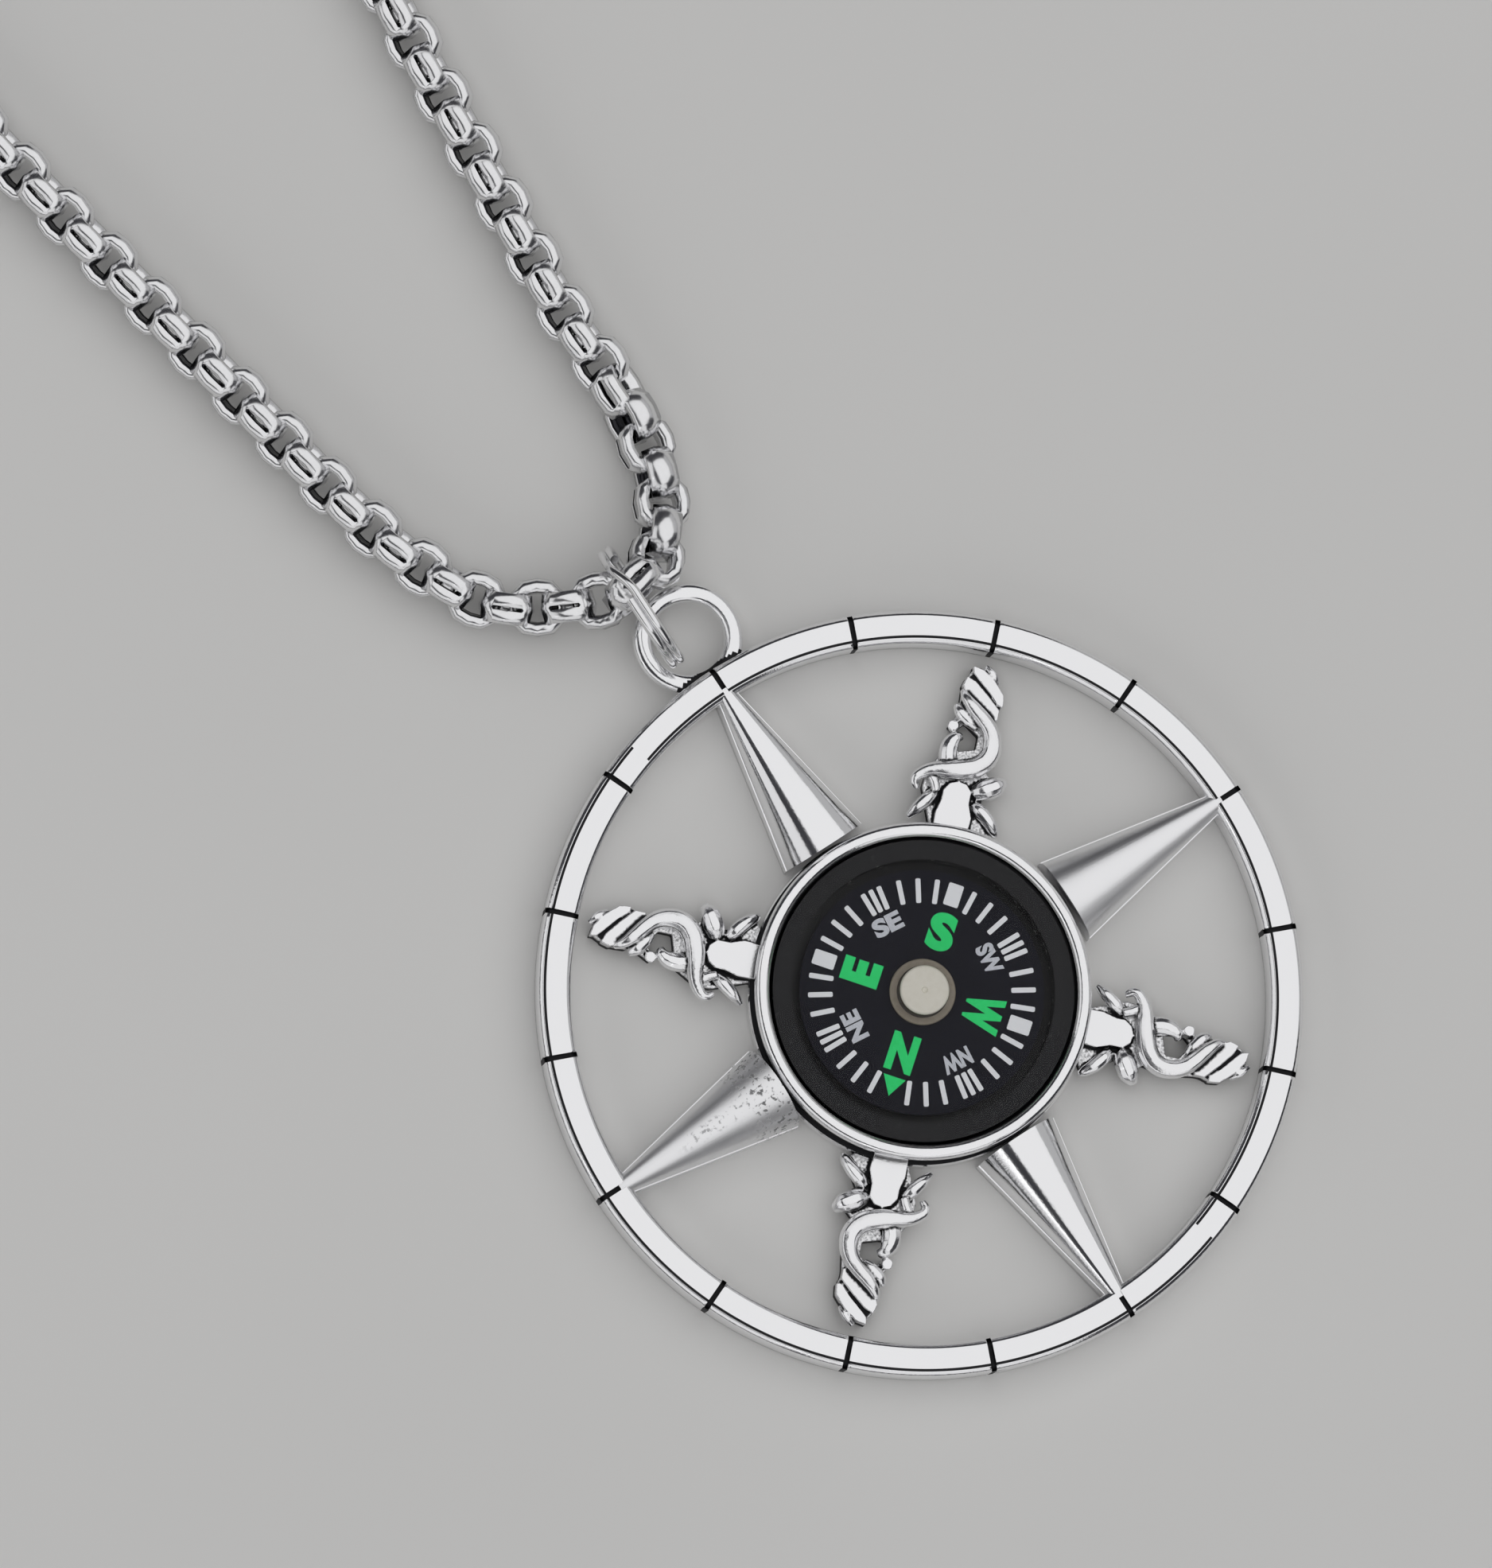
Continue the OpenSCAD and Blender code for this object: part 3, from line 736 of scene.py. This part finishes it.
# %% Eyelet
eyelet_outer, eyelet_wire = 6.5, 1.1
eyelet_height, eyelet_flat = 1.39, 0.9
eyelet_r = (eyelet_outer - eyelet_wire) / 2
eyelet_middle = Vector((0, casting_high.y / MM - eyelet_outer / 2, eyelet_height))
bpy.ops.mesh.primitive_torus_add(major_radius=eyelet_r * MM, minor_radius=eyelet_wire / 2 * MM,
                                 major_segments=72, minor_segments=20, location=eyelet_middle * MM)
eyelet = settle("eyelet")
edit(eyelet)
pick(eyelet, "VERT", lambda p, n: abs(n.z) > 0.8)
bpy.ops.transform.resize(value=(1, 1, eyelet_flat), center_override=eyelet_middle * MM)
close()
# Tarnish and painted shade where the eyelet meets the rim
paint_dark(eyelet, lambda p, n: p.xy.length < rim_r + 0.25)
smooth(eyelet)
hang(eyelet, "necklace", silver)
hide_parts("pendant_frame")

# %% [markdown]
# ## Polished steel
# The chain, the rings and the clasp are steel, turned mirror-bright by tumbling. Fine scratches
# only soften the reflection a little.

# %% Polished steel
def polished_steel(name, painted=False):
    """Bright steel. On a painted mesh the hollows are dark with painted shade."""
    finish, shader, place = new_finish(name)
    scratch = place.noise(5.0, 4.0)
    colour = scratch.blend((0.80, 0.80, 0.81, 1), (0.88, 0.88, 0.89, 1))
    if painted:
        clean_and_lit = place.node("ShaderNodeAttribute", {"attribute_name": "clean_and_lit"}, out="Fac")
        # Painted shade on the faces that look into a link
        colour = clean_and_lit.rise(0.2, 0.7).blend((0.03, 0.03, 0.034, 1), colour)
    dress(shader, {
        "Base Color": colour,
        "Metallic": 1.0,
        "Roughness": (0.15 if painted else 0.08) + scratch * 0.10,
        "Normal": scratch.bump(0.15, 0.01),
    })
    return finish


steel = polished_steel("polished_steel")
chain_steel = polished_steel("chain_steel", painted=True)
print("steel finishes:", steel.name, chain_steel.name)

# %% [markdown]
# ## The split ring
# A split ring is a wire wound twice round, with both turns pressed flat together. For most of its
# way each turn lies in its own plane, and a short slanting stretch leads from one to the other.
# The ring leans a little and passes round the eyelet and round the chain.

# %% Split ring
ring_low, ring_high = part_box("split_ring")
ring_middle = (ring_low + ring_high) / 2 / MM
ring_outer, ring_wire = 8.1, 0.54
ring_r = (ring_outer - ring_wire) / 2
ring_gap = 0.5
# Angles in degrees: the ring's lean, where its wire starts, and how far the slanting stretch goes
ring_lean, ring_start, cross_over = 10, 60, 38


def ring_row(angle):
    """A row of the wire's path: both turns, with the slanting stretch in the middle."""
    share = min(max((angle - 360) / cross_over + 0.5, 0), 1)
    lift = (share * share * (3 - 2 * share) - 0.5) * ring_gap
    a = math.radians(angle + ring_start)
    return (lift, ring_r * math.cos(a), ring_r * math.sin(a), ring_wire / 2)


ring_end = cross_over / 2 + 4
ring_count = 110
ring_angles = [ring_end + (720 - 2 * ring_end) * i / ring_count for i in range(ring_count + 1)]
ring = swept("split_ring_wire", [ring_row(angle) for angle in ring_angles], steps=2)
leaned = Matrix.Rotation(math.radians(-ring_lean), 4, "Y")
ring.data.transform(Matrix.Translation(ring_middle * MM) @ leaned)
outward(ring)
smooth(ring, 60)
hang(ring, "necklace", steel)
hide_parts("split_ring")

# %% [markdown]
# ## The chain
# A rounded box chain is made of short, wide links, each turned a quarter round from the last.
# Each link is a band bent to a rounded square, whole on one side and slit on the other. It starts
# as a torus whose tube is drawn wide. Its corners are pushed out and its two long sides grow
# inwards. The slit is made by bevelling two edges of the outer and inner middle line and bridging
# the narrow faces.

# %% Link
link_l, link_h, band_w, band_t = 3.3, 3.45, 2.1, 0.72
whole_w, end_w = 1.95, 1.3
slit_w = 0.25
link_stations = 12
link_corner, side_inwards = 1.06, 0.82
inner_r = (link_h - band_t) / 2


def stretch(x, y, z):
    """Scale what is selected in edit mode, away from the middle of the link."""
    bpy.ops.transform.resize(value=(x, y, z), center_override=(0, 0, 0))


bpy.ops.mesh.primitive_torus_add(major_radius=inner_r * MM, minor_radius=band_t / 2 * MM,
                                 major_segments=link_stations, minor_segments=6,
                                 rotation=(math.pi / 2, 0, 0))
link = settle("link")
edit(link)
bpy.ops.mesh.select_all(action="SELECT")
stretch(link_l / link_h, band_w / band_t, 1)
# The corners move out, and the whole side and the two ends become narrower than the slit side
pick(link, "VERT", lambda p, n: min(abs(p.x), abs(p.z)) > 0.3)
stretch(link_corner, 1, link_corner)
pick(link, "VERT", lambda p, n: p.z < -0.6)
stretch(1, whole_w / band_w, 1)
pick(link, "VERT", lambda p, n: abs(p.z) < 0.6)
stretch(1, end_w / band_w, 1)
# The two long sides grow inwards
pick(link, "VERT", lambda p, n: abs(p.x) < 0.9 and abs(p.z) > 0.5 and p.xz.length < inner_r)
stretch(1, 1, side_inwards)
# The slit is cut along the middle line of the upper side
pick(link, "EDGE", lambda p, n: abs(p.y) < 0.01 and abs(n.normalized().y) < 0.1
     and p.z > 0.6 and abs(p.x) < 0.7)
bpy.ops.mesh.bevel(offset=slit_w / 2 * MM, segments=1, affect="EDGES")
found = pick(link, "FACE", lambda p, n: abs(p.y) < slit_w / 2 and p.z > 0.5 and abs(n.z) > 0.5)
bpy.ops.mesh.bridge_edge_loops()
close()
outward(link)


def in_link_hollow(p, n):
    """Whether a face looks into the link, except on the whole side, or into the slit."""
    looks_in = abs(n.y) < 0.6 and p.dot(n) < 0 and p.z > -0.5
    return looks_in or abs(p.y) < slit_w * 0.6 and abs(n.y) > 0.5


# Painted shade inside each link and in its slit
paint_dark(link, in_link_hollow)
only(link)
bpy.ops.object.shade_smooth()
print("faces bridged for the slit:", found, "of", len(link.data.polygons))
report(link)

# %% [markdown]
# The links follow one smooth line: down the left strand, through the ring and up the right strand.
# The line is drawn through the same chosen points as the plain tube of the model, and the links
# are set along it at equal steps. The held link is a little longer. Both strands are rolled to the
# left until the slits look up, but the right one turns another quarter just beside the ring.

# %% Chain route
# Rows of x, distance beyond the rim's edge, and height, in mm
chain_rows = [
    (-14, 261, 2.2), (-32, 256.5, 1.7), (-50, 243.5, 1.7), (-62, 222.5, 1.7), (-66, 196.5, 1.7),
    (-62, 170.5, 1.7), (-51, 144.5, 1.7), (-38, 117.5, 1.7), (-28, 89.5, 1.7), (-21.5, 65.5, 1.7),
    (-18, 46.5, 1.7), (-16.6, 39.5, 1.7), (-15.2, 32.5, 1.7), (-13.9, 26, 1.7), (-12.5, 19.2, 1.7),
    (-11.2, 14.9, 1.7), (-9, 10.5, 1.7), (-6.6, 8.6, 1.8), (-4.2, 7.2, 2.5), (-1.75, 6.55, 3.4),
    (0.5, 7, 3), (2.4, 9, 2.1), (3.8, 11.7, 1.7), (4.5, 16.5, 1.7), (4.4, 22.5, 1.7),
    (4.8, 28.5, 1.7), (5.3, 35.5, 1.7), (6, 43.5, 1.7), (9, 65.5, 1.7), (15, 89.5, 1.7),
    (25, 116.5, 1.7), (36, 142.5, 1.7), (47, 169.5, 1.7), (52, 196.5, 1.7), (48, 223.5, 1.7),
    (36, 244.5, 1.7), (20, 257, 1.7), (4, 261, 2.2),
]
route_steps = 40
route = [Vector((x, rim_r + y, z)) for x, y, z in chain_rows]
ring_row_number = max(range(len(route)), key=lambda i: route[i].z)


def bend(a, b, c, d, t):
    """A smooth curve from b to c, whose ends lean on a and d."""
    return (2 * b + (c - a) * t + (2 * a - 5 * b + 4 * c - d) * t ** 2 + (3 * b - a - 3 * c + d) * t ** 3) / 2


def walk(first, last):
    """Points close together along the route between two of its rows."""
    line = []
    for i in range(first, last):
        a, d = route[max(i - 1, 0)], route[min(i + 2, len(route) - 1)]
        line += [bend(a, route[i], route[i + 1], d, k / route_steps) for k in range(route_steps)]
    return line + [route[last]]


def at_steps(line, first):
    """The points of a line that lie one pitch apart, the first one at a distance from its start."""
    found, gone = [], link_pitch - first
    for a, b in zip(line, line[1:]):
        step = (b - a).length
        while gone + step >= link_pitch:
            a = a + (b - a) * (link_pitch - gone) / step
            step = (b - a).length
            gone = 0.0
            found.append(a)
        gone += step
    return found


link_pitch = 1.83
# The stretch of the held link, and how far its middle lies beyond the highest point of the line
held_length, held_place = 1.2, 0.38
left_line = at_steps(list(reversed(walk(0, ring_row_number))), link_pitch)
right_way = walk(ring_row_number, len(route) - 1)
right_line = at_steps(right_way, 2 * held_place + link_pitch)
held_line = at_steps(right_way, held_place)
print("links:", len(left_line), "on the left,", len(right_line), "on the right and the held one")

# %% Links along the route
# Rolls in degrees, far from the ring and beside it, and the links over which one becomes the other
left_roll, left_ring_roll, left_turn = 22, 6, (0, 8)
right_roll, right_ring_roll, right_turn = 20, 80, (4, 7)
held_roll = 8
link_lift = 0.1


def ease(number, turn):
    """0 up to the first link of the turn, 1 from its last one on, and smooth between them."""
    share = min(max((number - turn[0]) / (turn[1] - turn[0]), 0), 1)
    return share * share * (3 - 2 * share)


def link_place(line, number, roll):
    """The matrix that sets a link along the line, rolled about it by an angle."""
    before, after = line[max(number - 1, 0)], line[min(number + 1, len(line) - 1)]
    along = (after - before).normalized()
    side = Vector((0, 0, 1)).cross(along).normalized()
    along_the_line = Matrix((along, side, along.cross(side))).transposed().to_4x4()
    place = line[number] + Vector((0, 0, link_lift))
    return Matrix.Translation(place * MM) @ along_the_line @ Matrix.Rotation(math.radians(-roll), 4, "X")


held = copied(link, "held", link_place(held_line, 0, held_roll) @ Matrix.Diagonal((held_length, 1, 1, 1)))
left_links = []
for i in range(len(left_line)):
    roll = left_ring_roll + (left_roll - left_ring_roll) * ease(i, left_turn)
    left_links.append(copied(link, "left", link_place(left_line, i, roll + 90 * ((i + 1) % 2))))
right_links = []
for i in range(len(right_line)):
    roll = right_ring_roll + (right_roll - right_ring_roll) * ease(i, right_turn)
    right_links.append(copied(link, "right", link_place(right_line, i, roll + 90 * (i % 2))))
left_chain = joined("chain_links_left", [held] + left_links)
right_chain = joined("chain_links_right", right_links)
for piece, node in ((left_chain, "chain_left"), (right_chain, "chain_right")):
    hang(piece, "necklace", chain_steel)
    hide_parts(node)
bpy.data.objects.remove(link)

# %% [markdown]
# ## The clasp
# The clasp lies out of the picture, so it stays plain. Its solid has sharp edges, and a merged
# copy of it takes a bevel, as a real stamping is tumbled.

# %% Clasp
clasp = copied(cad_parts["clasp"], "clasp_body", Matrix.Identity(4))
clasp.parent = None
outward(clasp)
modify(clasp, "BEVEL", width=0.15 * MM, segments=3, limit_method="ANGLE", angle_limit=math.radians(40))
smooth(clasp)
hang(clasp, "necklace", steel)
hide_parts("clasp")


def refinish(node, finish):
    """Give a model node that is shown as it is a better finish."""
    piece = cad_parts[node]
    piece.data.materials.clear()
    piece.data.materials.append(finish)


for node in ("clasp_ring", "tail_ring"):
    refinish(node, steel)

# %% [markdown]
# ## The compass
# The compass is a small black capsule under a clear lens. Its card is black with printed marks,
# and an ivory cap covers the pivot. The marks are real thin plates on the card, so that they turn
# with it and stay sharp from any distance.

# %% Finishes of the compass
def plastic(name, colour, other, roughness, grain=3.0, shine=0.5):
    """Plastic or ink that varies softly between two colours."""
    finish, shader, place = new_finish(name)
    cloud = place.noise(grain, 3.0)
    dress(shader, {"Base Color": cloud.blend(colour, other), "Roughness": roughness + cloud * 0.08,
                   "Normal": cloud.bump(0.2, 0.004), "Specular IOR Level": shine})
    return finish


def clear_lens():
    """A thin clear shell: it only adds a faint mirror image, more at a glancing angle."""
    finish, shader, wire = new_finish("lens_clear")
    edge = wire.node("ShaderNodeFresnel", {}, {"IOR": 1.3})
    dress(shader, {"Base Color": (1, 1, 1, 1), "Metallic": 1.0, "Roughness": 0.12, "Alpha": edge * 0.3})
    return finish


black_gloss = plastic("capsule_black", (0.006, 0.006, 0.007, 1), (0.014, 0.014, 0.016, 1), 0.22, shine=0.15)
card_black = plastic("card_black", (0.006, 0.006, 0.010, 1), (0.013, 0.013, 0.021, 1), 0.5, shine=0.05)
ivory = plastic("cap_ivory", (0.74, 0.70, 0.60, 1), (0.84, 0.81, 0.73, 1), 0.35)
tan = plastic("cap_tan", (0.20, 0.165, 0.12, 1), (0.32, 0.28, 0.22, 1), 0.4)
# The brown is painted shadow for the cap's side and the corner below it
painted_shadow_brown = plastic("cap_painted_shadow", (0.03, 0.025, 0.02, 1), (0.06, 0.05, 0.04, 1), 0.4)
white_ink = plastic("white_ink", (0.90, 0.92, 0.97, 1), (0.98, 0.99, 1.0, 1), 0.5, grain=6.0, shine=0.1)
grey_ink = plastic("grey_ink", (0.50, 0.52, 0.58, 1), (0.82, 0.84, 0.90, 1), 0.5, grain=9.0, shine=0.1)
green_ink = plastic("green_ink", (0.02, 0.74, 0.16, 1), (0.05, 0.88, 0.27, 1), 0.5, grain=6.0, shine=0.1)
print("compass finishes:", [finish.name for finish in (black_gloss, card_black, ivory, tan, painted_shadow_brown)])
refinish("capsule_body", black_gloss)
refinish("capsule_lens", clear_lens())
refinish("compass_card", card_black)
refinish("pivot_pin", steel)

# %% [markdown]
# The card has a tick every ten degrees beside each main point, three close together at the points
# between them, a broad block at east, south and west and a green arrowhead at north. North lies
# where the card came to rest in the photograph.

# %% Ticks
card_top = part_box("compass_card")[1].z / MM
ink_t = 0.02
north = -141.3
tick_in, tick_out, tick_w = 5.25, 6.7, 0.3
tick_round = 0.08
block_w = 0.9


def tick(angle, width, inner=tick_in):
    """One printed bar, with its ends a little rounded."""
    length = tick_out - inner
    bpy.ops.mesh.primitive_plane_add(size=MM, location=((inner + length / 2) * MM, 0, card_top * MM))
    bar = bpy.context.object
    bar.scale = (length, width, 1)
    bar = settle("tick")
    edit(bar)
    bpy.ops.mesh.select_all(action="SELECT")
    bpy.ops.mesh.bevel(offset=tick_round * MM, segments=2, affect="VERTICES")
    bpy.ops.mesh.select_all(action="SELECT")
    bpy.ops.mesh.extrude_region_move(TRANSFORM_OT_translate={"value": (0, 0, ink_t * MM)})
    close()
    bar.data.transform(about_z(angle))
    return bar


ticks = []
for quarter in range(4):
    start = north + 90 * quarter
    ticks += [tick(start + step, tick_w) for step in (10, 20, 30, 60, 70, 80)]
    ticks += [tick(start + step, tick_w) for step in (40.5, 45, 49.5)]
    if quarter > 0:
        ticks.append(tick(start, block_w, inner=tick_in + 0.1))
marks = joined("dial_ticks", ticks)
outward(marks)
hang(marks, "card", white_ink)


# %% [markdown]
# The letters are text turned into thin plates. A font sets its own widths, so each word is first
# made heavier and thick, and then scaled to the height and width of the print.

# %% Letters
# Distances from the card's middle, heights and widths in mm, and how much heavier than the font
main_r, main_h, main_weight = 3.75, 2.3, 0.06
small_r, small_h, small_w, small_weight = 4.45, 1.1, 1.8, 0.05
arrow_r, arrow_size = 5.62, 0.78


def letter(text, bearing, radius, height, width, weight):
    """A printed word with its foot towards the middle of the card."""
    bpy.ops.object.text_add()
    word = bpy.context.object
    word.data.body = text
    word.data.align_x, word.data.align_y = "CENTER", "CENTER"
    word.data.offset = weight
    word.data.extrude = 0.5
    bpy.ops.object.convert(target="MESH")
    word = settle(f"letter_{text}")
    size = word.dimensions.copy()
    middle = sum((Vector(c) for c in word.bound_box), Vector()) / 8
    word.data.transform(Matrix.Translation(-middle))
    fit = Matrix.Diagonal((width / size.x * MM, height / size.y * MM, ink_t / size.z * MM, 1))
    angle = north + bearing
    place = about_z(angle) @ Matrix.Translation(Vector((radius, 0, card_top + ink_t / 2)) * MM) @ about_z(-90)
    word.data.transform(place @ fit)
    outward(word)
    return word


main_widths = (("N", 0, 1.65), ("E", -90, 1.45), ("S", 180, 1.6), ("W", 90, 2.2))
main_points = [letter(text, bearing, main_r, main_h, width, main_weight)
               for text, bearing, width in main_widths]
bpy.ops.mesh.primitive_circle_add(vertices=3, radius=arrow_size * MM, fill_type="NGON",
                                  location=(0, 0, card_top * MM))
arrow = settle("arrow")
edit(arrow)
bpy.ops.mesh.select_all(action="SELECT")
bpy.ops.mesh.extrude_region_move(TRANSFORM_OT_translate={"value": (0, 0, ink_t * MM)})
close()
outward(arrow)
arrow.data.transform(about_z(north) @ Matrix.Translation((arrow_r * MM, 0, 0)) @ about_z(-90))
green_marks = joined("dial_main_letters", main_points + [arrow])
hang(green_marks, "card", green_ink)

between_points = [letter(text, bearing, small_r, small_h, small_w, small_weight)
                  for text, bearing in (("NE", -45), ("SE", -135), ("SW", 135), ("NW", 45))]
grey_marks = joined("dial_small_letters", between_points)
hang(grey_marks, "card", grey_ink)

# %% [markdown]
# The cap over the pivot is a small turned knob: a flange, an upright side and a flat top with a
# dimple in its middle. Its top is ivory, its flange a darker tan, and its side and the corner
# below it are brown with painted shadow.

# %% Cap
cap_low, cap_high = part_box("card_cap")
cap_r, flange_r = 2.9 / 2, cap_high.x / MM
cap_z0, cap_z1 = cap_low.z / MM, cap_high.z / MM
flange_t = 0.3
pin_hole_r, pin_hole_top = 0.43, cap_z1 - 0.3
cap_outline = (
    [(0, pin_hole_top), (pin_hole_r, pin_hole_top), (pin_hole_r, cap_z0), (flange_r - 0.05, cap_z0)]
    + arc(flange_r - 0.1, cap_z0 + flange_t - 0.1, 0.1, 0, 90, 3)
    + [(cap_r + 0.08, cap_z0 + flange_t), (cap_r, cap_z0 + flange_t + 0.08)]
    + arc(cap_r - 0.16, cap_z1 - 0.16, 0.16, 0, 90, 4)
    + [(0.2, cap_z1), (0.12, cap_z1 - 0.1), (0, cap_z1 - 0.12)]
)
cap = turned_piece("cap", cap_outline, 96)
smooth(cap, 40)
hang(cap, "card", ivory)
cap.data.materials.append(tan)
cap.data.materials.append(painted_shadow_brown)
# The cap's side and the corner below it get the painted shadow, the rest of the flange the darker tan
for face in cap.data.polygons:
    height, distance = face.center.z / MM, face.center.xy.length / MM
    if height < cap_z1 - 0.17:
        face.material_index = 2 if distance < cap_r + 0.13 else 1
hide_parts("card_cap")
